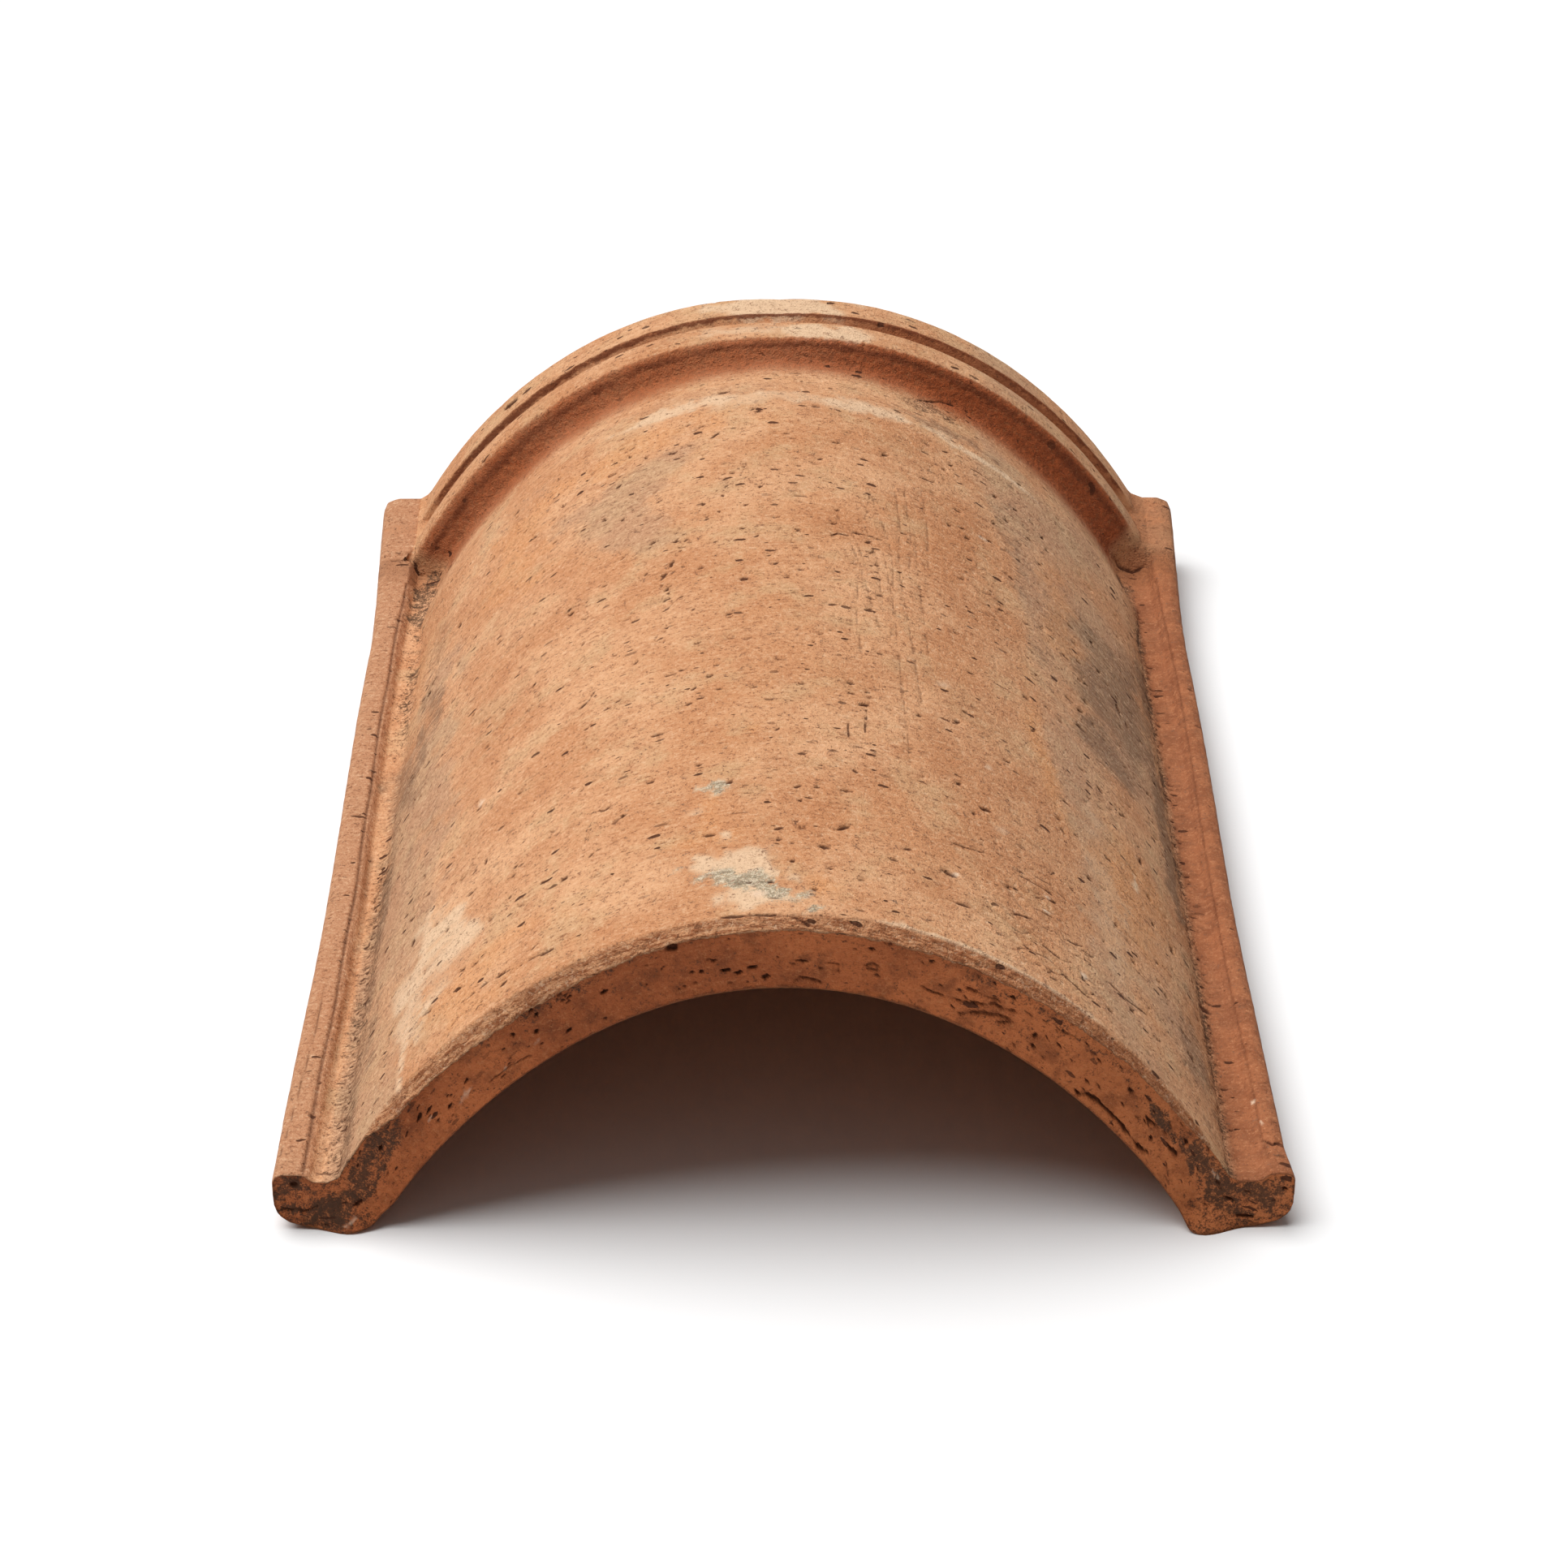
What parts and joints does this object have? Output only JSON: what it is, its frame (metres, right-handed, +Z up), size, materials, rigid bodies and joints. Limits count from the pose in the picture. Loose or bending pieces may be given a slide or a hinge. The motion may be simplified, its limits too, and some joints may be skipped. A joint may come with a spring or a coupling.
{
  "type": "curved clay roof tile",
  "caption": "Curved clay ridge tile: an arched wall on two lipped side flanges, with a rolled collar moulded round one end.",
  "frame": {"origin": "on the ground, under the middle of the tile's box", "axes": "+Y along the tile from the plain end to the collar, +Z up out of the crown, +X across to the narrower lip"},
  "size_m": [0.2362, 0.343, 0.0868],
  "materials": {
    "terracotta": "unglazed fired clay, matt, weathered and stained"
  },
  "bodies": {
    "root": {"clay_roof_tile": "terracotta"}
  },
  "joints": []
}
